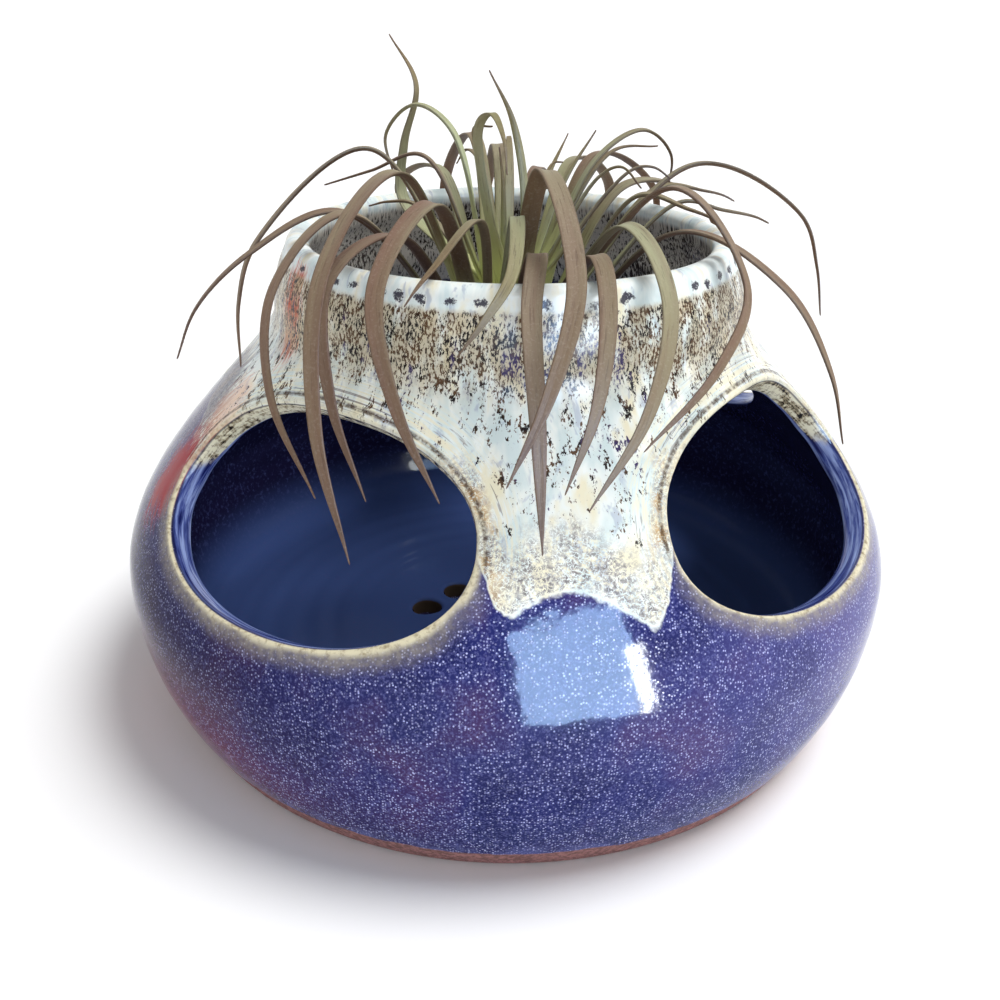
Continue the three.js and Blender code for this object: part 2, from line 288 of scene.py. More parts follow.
def handOffset(azimuth, height, depth):
    angle = np.radians(azimuth)
    slow = 0
    for rise, number, start, climb in pot["handWaves"]:
        slow = slow + rise * np.sin(number * angle + start + height / climb)
    return slow + fingerRings(height, azimuth) * (pot["ringOutside"] + (1 - pot["ringOutside"]) * depth)


# Gathers the pot's points with their azimuth, way and depth
class Clay:
    def __init__(self):
        self.rows, self.faces, self.count = [], [], 0

    def row(self, azimuth, radius, height, way, depth):
        angle = np.radians(azimuth)
        columns = (radius * np.sin(angle), -radius * np.cos(angle), height, azimuth, way, depth)
        self.rows.append(np.stack(np.broadcast_arrays(*columns), axis=1))
        self.count += len(angle)
        return np.arange(self.count - len(angle), self.count)

    def wallRow(self, azimuth, way, depth):
        radius, height = wallPlace(way, depth)
        share = depth / pot["wall"]
        return self.row(azimuth, radius + handOffset(azimuth, height, share), height, way, share)

    def wallRows(self, azimuth, start, end, count, depth):
        return [self.wallRow(azimuth, way, depth) for way in np.linspace(start, end, count)]

    def skin(self, rows):
        for first, second in zip(rows, rows[1:]):
            self.faces += quadsBetween(first, second)

    def points(self):
        return np.vstack(self.rows)[:, :3]

    # Rows that meet share their points
    def merged(self):
        keys = np.round(self.points(), 4)
        _, first, inverse = np.unique(keys, axis=0, return_index=True, return_inverse=True)
        faces = [list(dict.fromkeys(inverse.ravel()[face].tolist())) for face in self.faces]
        faces = [face for face in faces if len(face) > 2]
        return self.points()[first], faces, np.vstack(self.rows)[first, 3:].T


def shapePot():
    clay = Clay()
    count = openings["count"] * pot["segments"]
    azimuths = openings["first"] - spacing / 2 + np.arange(count) * 360 / count
    lowWay, highWay, topWay = walkAt(pot["patchLow"]), walkAt(pot["patchHigh"]), walk[-1]

    # Base and foot
    flatRows = [(radius, 0) for radius in (pot["discRadius"], *pot["baseRings"])]
    flatRows += [(pot["footRadius"] + inset, height) for inset, height in pot["footRound"]]
    rows = [clay.row(azimuths, radius, height, 0, 0) for radius, height in flatRows]
    rows += clay.wallRows(azimuths, 0, lowWay, pot["bowlRows"], 0)
    clay.skin(rows)
    baseLoop = rows[0]

    # Collar, rim and the inside of the neck
    rows = clay.wallRows(azimuths, highWay, topWay, pot["collarRows"], 0)
    for share in np.linspace(0, 1, pot["rimRows"] + 1)[1:-1]:
        angle = pi * share
        radius = pot["rimRadius"] - lipRadius + lipRadius * cos(angle)
        height = collarTop + lipRadius * sin(angle)
        radius = radius + handOffset(azimuths, height, share)
        height = height + pot["rimWave"] * np.sin(2 * np.radians(azimuths) + pot["rimWaveStart"])
        rows.append(clay.row(azimuths, radius, height, topWay, share))
    rows += clay.wallRows(azimuths, topWay, highWay, pot["collarRows"], pot["wall"])
    clay.skin(rows)

    # Inside of the bowl, down to the flat middle of the floor
    turnHeight = pot["floor"] + pot["fillet"]
    turnWay = float(np.interp(turnHeight, wallPlace(walk, pot["wall"])[1], walk))
    turnRadius = float(wallPlace(turnWay, pot["wall"])[0])
    floorEdge = turnRadius - pot["fillet"]
    rows = clay.wallRows(azimuths, lowWay, turnWay, pot["insideRows"], pot["wall"])
    corner = [(turnRadius, turnHeight), (turnRadius - pot["filletLean"], pot["floor"]),
              (floorEdge, pot["floor"])]
    for radius, height in bezier(corner, pot["filletRows"] + 1)[1:]:
        fade = (height - pot["floor"]) / pot["fillet"]
        radius = radius + handOffset(azimuths, height, 1) * fade
        rows.append(clay.row(azimuths, radius, height, turnWay, 1))
    for radius in np.linspace(floorEdge, pot["discRadius"], pot["floorRows"])[1:]:
        fade = smoothStep(pot["discRadius"], pot["discRadius"] + pot["ringFadeIn"], radius)
        fade = fade * smoothStep(floorEdge, floorEdge - pot["ringFadeOut"], radius)
        height = pot["floor"] + fingerRings(radius, azimuths) * fade
        rows.append(clay.row(azimuths, radius, height, turnWay, 1))
    clay.skin(rows)
    floorLoop = rows[-1]

    cutOpenings(clay, lowWay, highWay)
    holeTops, holeBases = punchDrains(clay, turnWay)
    for border, holes in ((floorLoop, holeTops), (baseLoop, holeBases)):
        clay.faces += fillFlat(clay.points(), border, holes)
    return clay.merged()


# Each opening: rings from a square patch of the wall in to the lip, round it, and out again inside
def cutOpenings(clay, lowWay, highWay):
    flat, tall = np.ones(pot["segments"]), np.ones(openings["sideSegments"])
    level = np.linspace(-1, 1, pot["segments"] + 1)[:-1]
    upright = np.linspace(-1, 1, openings["sideSegments"] + 1)[:-1]
    squareX = np.concatenate([level, tall, -level, -tall])
    squareY = np.concatenate([-flat, upright, flat, -upright])
    sill, crown = walkAt(openings["sill"]), walkAt(openings["crown"])
    middle, halfWay = (sill + crown) / 2, (crown - sill) / 2
    rectTurn = spacing / 2 * squareX
    rectWay = middle + squareY * np.where(squareY < 0, middle - lowWay, highWay - middle)
    direction = np.arctan2((rectWay - middle) / halfWay, rectTurn / openings["halfAngle"])
    square = openings["squareness"]
    unit = np.abs(np.cos(direction)) ** square + np.abs(np.sin(direction)) ** square
    unit = unit ** (-1 / square)
    shares = np.linspace(1, 0, openings["rings"] + 1) ** openings["ringCrowd"]
    power = 2 / openings["lipSquareness"]
    for number in range(openings["count"]):
        centre = openings["first"] + spacing * number
        waves = np.sin(2 * direction + number) + np.sin(3 * direction + openings["unevenTurn"] * number)
        uneven = 1 + openings["unevenness"] * waves

        def outline(grow):
            reachTurn = openings["halfAngle"] + grow / openings["millimetresPerDegree"]
            turn = unit * np.cos(direction) * reachTurn * uneven
            way = middle + unit * np.sin(direction) * (halfWay + grow) * uneven
            return turn, way

        startTurn, startWay = outline(openings["lipRound"])

        def patchRing(share, depth):
            turn = startTurn + (rectTurn - startTurn) * share
            way = startWay + (rectWay - startWay) * share
            return clay.wallRow(centre + turn, way, depth)

        rings = [patchRing(share, 0) for share in shares]
        for share in np.linspace(0, 1, openings["lipRows"] + 1)[1:-1]:
            angle = pi * share
            reach = sin(angle) ** power
            side = copysign(abs(cos(angle)) ** power, cos(angle))
            turn, way = outline(openings["lipRound"] * (1 - reach))
            rings.append(clay.wallRow(centre + turn, way, pot["wall"] * (1 - side) / 2))
        rings += [patchRing(share, pot["wall"]) for share in shares[::-1]]
        clay.skin(rings)


# Drain holes, punched by hand through the flat middle
def punchDrains(clay, turnWay):
    tops, bases = [], []
    angles = np.linspace(0, 2 * pi, drains["segments"], endpoint=False)
    steps = [(radius, pot["floor"] + over) for radius, over in drains["topEdge"]]
    inside = len(steps)
    steps += drains["baseEdge"]
    for number, turn in enumerate(drains["turns"]):
        x = drains["centre"][0] + drains["ringRadius"] * cos(radians(turn))
        y = drains["centre"][1] + drains["ringRadius"] * sin(radians(turn))
        outline = 1
        for share, waves, start in drains["waves"]:
            outline = outline + share * np.sin(waves * angles + start * number)
        loops = []
        for index, (radius, height) in enumerate(steps):
            holeX = x + radius * outline * np.cos(angles)
            holeY = y + radius * outline * np.sin(angles)
            azimuth = np.degrees(np.arctan2(holeX, -holeY))
            way, depth = (turnWay, 1) if index < inside else (0, 0)
            loops.append(clay.row(azimuth, np.hypot(holeX, holeY), height, way, depth))
        clay.skin(loops)
        tops.append(loops[0])
        bases.append(loops[-1])
    return tops, bases


# Fills a flat ring of points that has holes in it
def fillFlat(points, border, holes):
    sheet = bmesh.new()
    numbers, edges = {}, []
    for loop in (border, *holes):
        corners = [sheet.verts.new(points[index]) for index in loop]
        numbers.update(zip(corners, loop.tolist()))
        edges += [sheet.edges.new(pair) for pair in zip(corners, corners[1:] + corners[:1])]
    bmesh.ops.triangle_fill(sheet, edges=edges, use_beauty=True)
    faces = [[numbers[corner] for corner in face.verts] for face in sheet.faces]
    sheet.free()
    return faces


# Glaze: speckled blue below, poured white above, a tan collar, bare clay at the foot, with painted light
# and shade on the belly, the lips and inside
glaze = tints(
    blueDeep=(25, 31, 87), blueMid=(38, 44, 109), violet=(70, 50, 103), speckle=(196, 202, 246),
    paleGrain=(112, 116, 178), footBlue=(10, 26, 77), thinBlue=(96, 104, 164), white=(239, 245, 242),
    mint=(214, 229, 230), cream=(236, 231, 205), greyBlue=(164, 176, 198), laceHole=(168, 164, 160),
    laceDark=(120, 114, 112), tan=(192, 177, 143), speckDark=(34, 28, 28), speckBrown=(92, 68, 48),
    speckViolet=(60, 48, 92), speckDot=(46, 40, 58), brown=(70, 50, 38), ochre=(196, 154, 92),
    orange=(188, 66, 34), crimson=(150, 26, 40), salmon=(228, 170, 140), veil=(96, 88, 110),
    rust=(140, 60, 48), dusk=(34, 25, 42), lilac=(86, 82, 140), bandGrey=(150, 143, 134),
    lipCream=(222, 215, 186), lipTan=(164, 150, 120), lipBlue=(68, 82, 148), lipPale=(148, 166, 216),
    neckPale=(204, 198, 186), neckSpeck=(58, 48, 42), holeClay=(78, 66, 56), insideDark=(28, 26, 58),
    insideFloor=(64, 84, 138), insideGrain=(72, 82, 136), clay=(158, 114, 110), clayDark=(110, 78, 74),
) | {
    "roughness": 0.07, "whiteRoughness": 0.24, "clayRoughness": 0.8, "specular": 0.16, "lowSpecular": 0.04,
    "bump": (0.1, 0.0006), "dotRelief": 0.2, "speckRelief": -0.8,
    "dotScale": 1520, "dotNear": (0.48, 0.18), "dotTone": (0.3, 0.85), "duskSpecks": 0.5, "rustSpecks": 0.4,
    # Heights from where to where a part comes in, or goes out
    "footFade": (40, 10, 0, 0.8), "thinBand": (15, 9), "collarRise": (108, 120), "violetTop": (130, 124),
    "rimWhite": (133.4, 131.6), "bandHeight": (84, 66, 0.35, 1), "floorLight": (30, 10),
    "glossRise": (26, 48), "footBand": (8.6, 7.8), "holeTop": (8.7, 8.2),
    # Distances over the pour's edge
    "pourEdge": (-0.4, 0.7), "laceZone": ((16, 9), (0.4, 1.4)), "specksFrom": (10, 15),
    "specksThin": (12, 26, -0.1, 0), "flankDark": (8, 18), "bandUnder": (1, -3), "brownFrom": (0, 3),
    "faceChange": (-1.5, 1.5), "creamFade": (2, -2, 0.55, 0.95), "neckChange": (-1, 2),
    # Distances from an opening's lip
    "flank": (16, 5), "laceCorner": (11, 3), "bandReach": (7.5, 1), "nearLip": (3, 2.6),
    "creamReach": (2.4, 0.4), "brownLine": ((3.6, 2.8), (1.7, 2.3)), "brownShare": 0.85,
    # Depths in the wall, 0 outside and 1 inside
    "outerFace": (0.1, 0.03), "outerHalf": (0.5, 0.3), "insideFrom": (0.9, 0.97), "pourInside": (0.8, 1.0),
    "blushDepth": (0.5, 0.15), "holeDepth": (0.5, 0.9), "rimDotDepth": (0.45, 0.25, 0, 0.95),
    # Bands across a lip's face, by depth
    "faceBand": ((0.12, 0.17), (0.99, 0.95)), "creamBand": ((0.0, 0.03), (0.13, 0.08)),
    "grooveBand": ((0.11, 0.15), (0.23, 0.17, 0, 0.75)), "edgeBand": ((0.88, 0.91), (0.97, 0.94, 0, 0.3)),
    # Levels of a pattern, or of a blush, from where to where a part shows
    "bluePatches": (0.25, 0.6, 0.55, 1), "creamLines": (0.42, 0.6, 0, 0.9),
    "darkLines": (0.42, 0.34, 0, 0.7), "wormWidth": (0.02, 0.055), "speckLevel": (0.5, 0.55),
    "violetGrain": (0.42, 0.52, 0, 0.7), "lipMottle": (0.3, 0.55), "neckSpeckLevel": (0.47, 0.6),
    "rimDotEdge": (1.0, 0.3), "blushRagged": 1.8, "blushLevel": (0.2, 0.8), "blushReach": (0.05, 0.4),
    "blushStrength": {"veil": 0.7, "salmon": 0.5, "crimson": 1, "orange": 1},
    "dullFrom": {"dusk": 0.6, "crimson": 0.5, "veil": 0.6},
    # Crowding of the specks: slope and start
    "tightClump": (0.24, -0.11), "looseClump": (0.95, -0.57), "neckCrowd": (0.4, -0.19),
    # The row of dots under the rim: pitch and height, then half the width and height of a dot
    "rimDotPitch": 7.8, "rimDotHeight": 134.5, "rimDotSize": (2.1, 1.1), "rimDotStray": 4,
}
# Patterns: repeats per metre, or per millimetre where they follow the wall, detail, roughness, distortion
glazePatterns = {
    "patches": (38, 3, 0.55), "grain": (1520, 2, 0.6), "crowd": (300, 3, 0.6), "thin": (160, 3),
    "soft": (0.16, 3, 0.55, 0.4), "blotches": (0.36, 3, 0.6, 0.5), "lipLines": (1.1, 3, 0.65, 0.3),
    "worms": (1050, 2, 0.5, 0.6), "lace": (735, 3, 0.6), "laceCorner": (150, 3, 0.6), "laceHoles": (130, 3),
    "tanPatch": (0.2, 4, 0.6), "specks": (1.9, 3, 0.7), "clump": (0.4, 2, 0.5), "speckTone": (240, 3),
    "violet": (0.2, 2), "dotStray": (0.12, 2, 0.6), "dotSize": (0.3, 1), "dotEdge": (1.5, 3, 0.7),
    "lipWander": (120, 2), "band": (650, 3, 0.6), "mottle": (560, 4, 0.65),
    "brownGrain": (700, 3, 0.65), "bowlGrain": (700, 3, 0.65), "lipStreak": (0.8, 4, 0.65, 0.4),
    "neckSpecks": (1.3, 3, 0.65), "neckCrowd": (0.05, 2), "pourEdge": (170, 4, 0.6),
    "blushRuns": (1.1, 4, 0.65), "blushLines": (1.1, 4, 0.65, 0.4), "footEdge": (60, 3),
    "clay": (700, 5, 0.7), "surface": (220, 2),
}
# Levels from where to where a pattern shows and its strengths there, or else how far it strays
glazeLimits = {
    "grain": (0.46, 0.66, 0, 0.42), "crowd": (0.35, 0.65, 0.65, 1), "thin": (0.4, 0.6, 0, 0.4),
    "blotches": (0.57, 0.68, 0, 0.6), "laceCorner": (0.46, 0.6, 0, 0.8),
    "laceHoles": (0.3, 0.55, 0.5, 0.95), "tanPatch": (0.28, 0.54, 0, 0.8), "speckTone": (0.4, 0.58),
    "violet": (0.58, 0.66), "dotSize": (0.36, 0.62, 0.5, 2.0), "band": (0.35, 0.65, 0.55, 0.95),
    "brownGrain": (0.35, 0.6, 0.3, 1), "bowlGrain": (0.5, 0.72, 0, 0.5), "clay": (0.4, 0.62),
    "dotEdge": 4, "lipWander": 3, "pourEdge": 5, "footEdge": 6,
}
# Places of the blushes and of painted light and shade: azimuth and height, then how far they reach
blushes = {
    "orange": ((-58, 123), (6, 13)), "crimson": ((-68.5, 77), (6.5, 13)), "salmon": ((-66, 96), (6, 9)),
    # Painted shade: the left pillar by the edge of the white pour, and the left of the belly, darkened
    "veil": ((-79, 92), (12, 17)), "rust": ((-72, 16), (34, 19)), "dusk": ((-64, 46), (44, 30)),
    # Painted light: the right of the belly lightened, standing in for reflected sky
    "lilac": ((60, 46), (30, 26)),
}
# Lower edge of the white pour: azimuth and height
whiteEdge = [
    (-180, 77), (-172, 72), (-166, 76), (-160, 71), (-155, 82), (-125, 87), (-95, 90), (-88, 94),
    (-76, 90), (-68, 82), (-62, 80), (-54, 83), (-30, 88), (-6, 88), (-3, 82), (-1, 76), (0.5, 72.5),
    (2.5, 75), (5, 77), (10, 77.5), (14, 75), (17.5, 71.5), (19.3, 69.5), (21.5, 72.5), (23, 78), (26, 87),
    (60, 88), (74, 84), (81, 79), (88, 78), (94, 82), (100, 80), (106, 85), (112, 88), (145, 87), (175, 83),
]


# Height over the edge of the white pour, which stops at the openings' crown inside
def whiteGapAt(azimuth, height, depth):
    angles, heights = np.array(whiteEdge).T
    edge = np.interp(azimuth, angles, heights, period=360)
    return height - edge - (openings["crown"] - edge) * smoothStep(*glaze["pourInside"], depth)


def openingNorm(azimuth, way):
    low, high = walkAt(openings["sill"]), walkAt(openings["crown"])
    nearest = (azimuth - openings["first"] + spacing / 2) % spacing - spacing / 2
    across = np.abs(nearest) / openings["halfAngle"]
    along = np.abs(way - (low + high) / 2) / ((high - low) / 2)
    square = openings["squareness"]
    return (across ** square + along ** square) ** (1 / square)


def blush(centre, reach, azimuth, height, depth):
    turn = (azimuth - centre[0] + 180) % 360 - 180
    spot = np.exp(-(turn / reach[0]) ** 2 - ((height - centre[1]) / reach[1]) ** 2)
    return spot * smoothStep(*glaze["blushDepth"], depth)


def blueGround(n, place, height):
    patches = n.pattern("patches", place)
    blue = n.ramp(patches, glaze, (0.36, "blueDeep"), (0.5, "blueMid"), (0.66, "violet"))
    blue = n.mix(n.step(height, *glaze["footFade"]), blue, glaze["footBlue"])
    uneven = n.step(patches, *glaze["bluePatches"])
    # Fewer pale specks in the painted shade on the left of the belly and in the rust blush
    clear = n.times(n.step(n.attribute("dusk"), 0, 1, 1, glaze["duskSpecks"]),
                    n.step(n.attribute("rust"), 0, 1, 1, glaze["rustSpecks"]))
    # The right of the belly painted lighter and its left painted darker, as light and shade, beside a rust
    # blush
    for name in ("lilac", "dusk", "rust"):
        blue = n.mix(n.times(n.attribute(name), uneven), blue, glaze[name])
    # Fine pale grain all over, with brighter dots strewn in it
    grain = n.patch("grain", place)
    near, tone = n.cellTone(place, glaze["dotScale"])
    crowd = n.patch("crowd", place)
    dots = n.times(n.step(near, *glaze["dotNear"]), n.step(tone, *glaze["dotTone"]), crowd)
    blue = n.mix(n.times(grain, clear), blue, glaze["paleGrain"])
    blue = n.mix(n.times(dots, clear), blue, glaze["speckle"])
    thin = n.times(n.step(height, *glaze["thinBand"]), n.patch("thin", place))
    return n.mix(thin, blue, glaze["thinBlue"]), dots


def whitePour(n, place, flow, gap, lipGap):
    run = n.drawn(flow, 0.4)
    white = n.ramp(n.pattern("soft", run), glaze, (0.34, "cream"), (0.46, "white"), (0.6, "mint"))
    white = n.mix(n.patch("blotches", run), white, glaze["greyBlue"])
    # Beside the openings the pour runs along the lip in thin cream and dark lines
    lines = n.pattern("lipLines", n.attribute("lipRun", "Vector"))
    flank = n.step(lipGap, *glaze["flank"])
    white = n.mix(n.times(flank, n.step(lines, *glaze["creamLines"])), white, glaze["cream"])
    dark = n.times(n.step(lines, *glaze["darkLines"]), flank, n.step(gap, *glaze["flankDark"]))
    white = n.mix(dark, white, glaze["speckBrown"])
    # Lace where the pour thins out over the blue, browner at its corners
    worms = n.math("ABSOLUTE", n.plus(n.pattern("worms", place), -0.5))
    zone = n.times(*n.between(gap, glaze["laceZone"]))
    lace = n.pattern("lace", place)
    ground = n.ramp(lace, glaze, (0.36, "laceDark"), (0.48, "laceHole"), (0.62, "cream"))
    ochre = n.patch("laceCorner", place)
    ground = n.mix(n.times(n.step(lipGap, *glaze["laceCorner"]), ochre), ground, glaze["ochre"])
    holes = n.patch("laceHoles", place)
    return n.mix(n.times(n.step(worms, *glaze["wormWidth"]), zone, holes), white, ground)


# Long specks: crowded on the collar, in clumps below it, none near the foot of the pour
def collarSpecks(n, colour, place, flow, gap, height, depth):
    underRim = n.times(n.step(height, *glaze["rimWhite"]), n.step(depth, *glaze["outerHalf"]))
    collar = n.times(n.step(height, *glaze["collarRise"]), underRim)
    halfRun, levelRun = n.drawn(flow, 0.5), n.drawn(flow, 0)
    tanPatch = n.patch("tanPatch", halfRun)
    colour = n.mix(n.times(collar, tanPatch), colour, glaze["tan"])
    # Fine grain all over the collar, broken into separate clumps of dots lower down
    grain = n.pattern("specks", n.drawn(flow, 0.45))
    clump = n.pattern("clump", halfRun)
    tight = n.times(n.line(clump, *glaze["tightClump"]), collar)
    loose = n.times(n.line(clump, *glaze["looseClump"]), n.step(collar, 1, 0))
    level = n.plus(grain, n.step(gap, *glaze["specksThin"]), tight, loose)
    specks = n.times(n.step(level, *glaze["speckLevel"]), n.step(gap, *glaze["specksFrom"]), underRim)
    tone = n.patch("speckTone", place)
    violet = n.patch("violet", n.drawn(flow, 0.4))
    violet = n.times(violet, n.step(height, *glaze["violetTop"]))
    speckTint = n.mix(violet, n.mix(tone, glaze["speckDark"], glaze["speckBrown"]), glaze["speckViolet"])
    colour = n.mix(specks, colour, speckTint)
    violet = n.times(violet, collar, n.step(grain, *glaze["violetGrain"]))
    colour = n.mix(violet, colour, glaze["speckViolet"])
    # A row of dark glaze dots just under the rim
    ring = n.add("TexVoronoi", {"W": n.attribute("roundWay"), "Scale": 1 / glaze["rimDotPitch"]},
                 voronoi_dimensions="1D").outputs["Distance"]
    stray = glaze["rimDotStray"]
    middle = n.line(n.pattern("dotStray", levelRun), stray, glaze["rimDotHeight"] - stray / 2)
    wide = n.times(ring, glaze["rimDotPitch"] / glaze["rimDotSize"][0])
    tall = n.times(n.math("SUBTRACT", height, middle), 1 / glaze["rimDotSize"][1])
    away = n.plus(n.times(wide, wide), n.times(tall, tall))
    away = n.times(away, n.patch("dotSize", levelRun))
    ragged = n.plus(away, n.wander("dotEdge", flow))
    dot = n.times(n.step(ragged, *glaze["rimDotEdge"]), n.step(depth, *glaze["rimDotDepth"]))
    return n.mix(dot, colour, glaze["speckDot"]), specks


# The glaze breaks over the lips: a grey band and cream edge outside, a streaked face between
def lipBreak(n, colour, place, gap, lipGap, height, depth):
    reach = n.plus(lipGap, n.wander("lipWander", place))
    outer = n.step(depth, *glaze["outerFace"])
    near = n.step(lipGap, *glaze["nearLip"])
    low = n.times(n.step(gap, *glaze["bandUnder"]), n.step(height, *glaze["bandHeight"]))
    grain = n.patch("band", place)
    band = n.times(n.step(reach, *glaze["bandReach"]), low, outer, grain)
    colour = n.mix(band, colour, glaze["bandGrey"])
    specked = n.patch("brownGrain", place)
    line = n.times(*n.between(lipGap, glaze["brownLine"]), n.step(gap, *glaze["brownFrom"]))
    colour = n.mix(n.times(line, specked, outer, glaze["brownShare"]), colour, glaze["brown"])
    streak = n.pattern("lipStreak", n.attribute("faceRun", "Vector"))
    blueFace = n.ramp(streak, glaze, (0.34, "blueDeep"), (0.46, "lipBlue"), (0.62, "lipPale"))
    mottle = n.pattern("mottle", place)
    streaky = n.times(n.plus(streak, mottle), 0.5)
    paleFace = n.ramp(streaky, glaze, (0.42, "speckDark"), (0.47, "lipTan"), (0.54, "cream"))
    face = n.mix(n.step(gap, *glaze["faceChange"]), blueFace, paleFace)
    colour = n.mix(n.times(near, *n.between(depth, glaze["faceBand"])), colour, face)
    cream = n.times(near, *n.between(depth, glaze["creamBand"]))
    cream = n.math("MAXIMUM", cream, n.times(n.step(reach, *glaze["creamReach"]), outer))
    broken = n.mix(n.step(mottle, *glaze["lipMottle"]), glaze["lipTan"], glaze["lipCream"])
    colour = n.mix(n.times(cream, n.step(gap, *glaze["creamFade"])), colour, broken)
    # Painted shade: a dark band across the lip's face, near its outer edge
    groove = n.times(near, *n.between(depth, glaze["grooveBand"]))
    colour = n.mix(groove, colour, glaze["insideDark"])
    # Painted highlight: a pale band along the lip's inner rounded edge
    inner = n.times(near, *n.between(depth, glaze["edgeBand"]))
    return n.mix(inner, colour, glaze["lipPale"])


def insideGlaze(n, place, flow, gap, height):
    # Painted light and shade: the bowl's floor painted lighter, as lit, and its walls darker, as shaded
    bowl = n.mix(n.step(height, *glaze["floorLight"]), glaze["insideDark"], glaze["insideFloor"])
    bowl = n.mix(n.patch("bowlGrain", place), bowl, glaze["insideGrain"])
    crowd = n.line(n.pattern("neckCrowd", flow), *glaze["neckCrowd"])
    specks = n.plus(n.pattern("neckSpecks", n.drawn(flow, 0.5)), crowd)
    neck = n.mix(n.step(specks, *glaze["neckSpeckLevel"]), glaze["neckPale"], glaze["neckSpeck"])
    return n.mix(n.step(gap, *glaze["neckChange"]), bowl, neck)


def glazeMaterial():
    n = newMaterial("reactiveGlaze", glazePatterns, glazeLimits)
    place = n.place()
    flow = n.attribute("flow", "Vector")
    height, depth, lipGap = (n.attribute(name) for name in ("height", "depth", "lipGap"))
    gap = n.plus(n.attribute("whiteGap"), n.wander("pourEdge", place))
    blue, dots = blueGround(n, place, height)
    colour = n.mix(n.step(gap, *glaze["pourEdge"]), blue, whitePour(n, place, flow, gap, lipGap))
    # Blushes, and painted shade on the left pillar, drawn out along the lip or down the collar
    drips = n.pattern("blushRuns", n.drawn(flow, 0.15))
    lines = n.pattern("blushLines", n.attribute("lipRun", "Vector"))
    for name, strength in glaze["blushStrength"].items():
        grain = drips if name == "orange" else lines
        stray = n.line(grain, glaze["blushRagged"], -glaze["blushRagged"] / 2)
        ragged = n.step(n.plus(n.attribute(name), stray), *glaze["blushLevel"], 0, strength)
        ragged = n.times(ragged, n.step(n.attribute(name), *glaze["blushReach"]))
        colour = n.mix(ragged, colour, glaze[name])
    colour, specks = collarSpecks(n, colour, place, flow, gap, height, depth)
    inside = n.step(depth, *glaze["insideFrom"])
    colour = n.mix(inside, colour, insideGlaze(n, place, flow, gap, height))
    colour = lipBreak(n, colour, place, gap, lipGap, height, depth)
    # Bare clay in the drain holes, painted darker there as shade, and at the foot
    hole = n.times(n.step(height, *glaze["holeTop"]), n.step(depth, *glaze["holeDepth"]))
    colour = n.mix(hole, colour, glaze["holeClay"])
    footEdge = n.plus(height, n.wander("footEdge", place))
    bare = n.times(n.step(footEdge, *glaze["footBand"]), n.step(depth, *glaze["outerHalf"]))
    clay = n.mix(n.patch("clay", place), glaze["clayDark"], glaze["clay"])
    colour = n.mix(bare, colour, clay)
    satin = n.step(gap, *glaze["pourEdge"], glaze["roughness"], glaze["whiteRoughness"])
    roughness = n.plus(n.times(satin, n.step(bare, 1, 0)), n.times(bare, glaze["clayRoughness"]))
    # The glaze shines less low on the belly, on the crimson blush and on the painted shade at the left
    glossy = n.step(height, *glaze["glossRise"])
    for name, limit in glaze["dullFrom"].items():
        glossy = n.times(glossy, n.step(n.attribute(name), 0, limit, 1, 0))
    shine = n.step(glossy, 0, 1, glaze["lowSpecular"], glaze["specular"])
    relief = n.plus(n.times(dots, glaze["dotRelief"]), n.pattern("surface", place),
                    n.times(specks, glaze["speckRelief"]))
    return n.finish(colour, roughness, shine, glaze["bump"], relief)


# How the pot's patterns run: shares of height and azimuth, and a shift from one opening to the next
runs = {"slope": 0.05, "leastSlope": 0.01, "lipReach": (-2, 60), "lipHeight": 0.16, "lipShift": 9,
        "faceHeight": 0.12, "faceTurn": 0.06, "insideDepth": 0.99}


def makePot():
    points, faces, (azimuth, way, depth) = shapePot()
    height = points[:, 2]
    step = runs["slope"]
    slopeTurn = (openingNorm(azimuth + step, way) - openingNorm(azimuth - step, way)) / (2 * step)
    slopeTurn = slopeTurn / openings["millimetresPerDegree"]
    slopeWay = (openingNorm(azimuth, way + step) - openingNorm(azimuth, way - step)) / (2 * step)
    slope = np.maximum(np.hypot(slopeTurn, slopeWay), runs["leastSlope"])
    lipGap = np.clip((openingNorm(azimuth, way) - 1) / slope, *runs["lipReach"])
    angle = np.radians(azimuth)
    neck = pot["neckRadius"]
    sector = np.round((azimuth - openings["first"]) / spacing)
    # How far along the wall a place is, over the rim and down the inside again
    rimOut = np.hypot(points[:, 0], points[:, 1]) - pot["rimRadius"] + lipRadius
    overRim = walk[-1] + lipRadius * np.arctan2(height - collarTop, rimOut)
    inner = walk[-1] + pi * lipRadius + (walk[-1] - way)
    run = np.where(depth > runs["insideDepth"], inner, np.where(height > collarTop, overRim, way))
    attributes = {
        "flow": np.stack([neck * np.sin(angle), -neck * np.cos(angle), run], axis=1),
        "roundWay": neck * angle,
        "lipRun": np.stack([lipGap, runs["lipHeight"] * height, runs["lipShift"] * sector], axis=1),
        "faceRun": np.stack([pot["wall"] * depth, runs["faceHeight"] * height, runs["faceTurn"] * azimuth],
                            axis=1),
        "height": height, "depth": depth, "lipGap": lipGap,
        "whiteGap": whiteGapAt(azimuth, height, depth),
    }
    for name, (centre, reach) in blushes.items():
        attributes[name] = blush(centre, reach, azimuth, height, depth)
    piece = makePiece("pot", points, faces, attributes, glazeMaterial())
    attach(piece, "pot")
    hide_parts("pot_body")
    print("pot:", len(points), "points")


makePot()


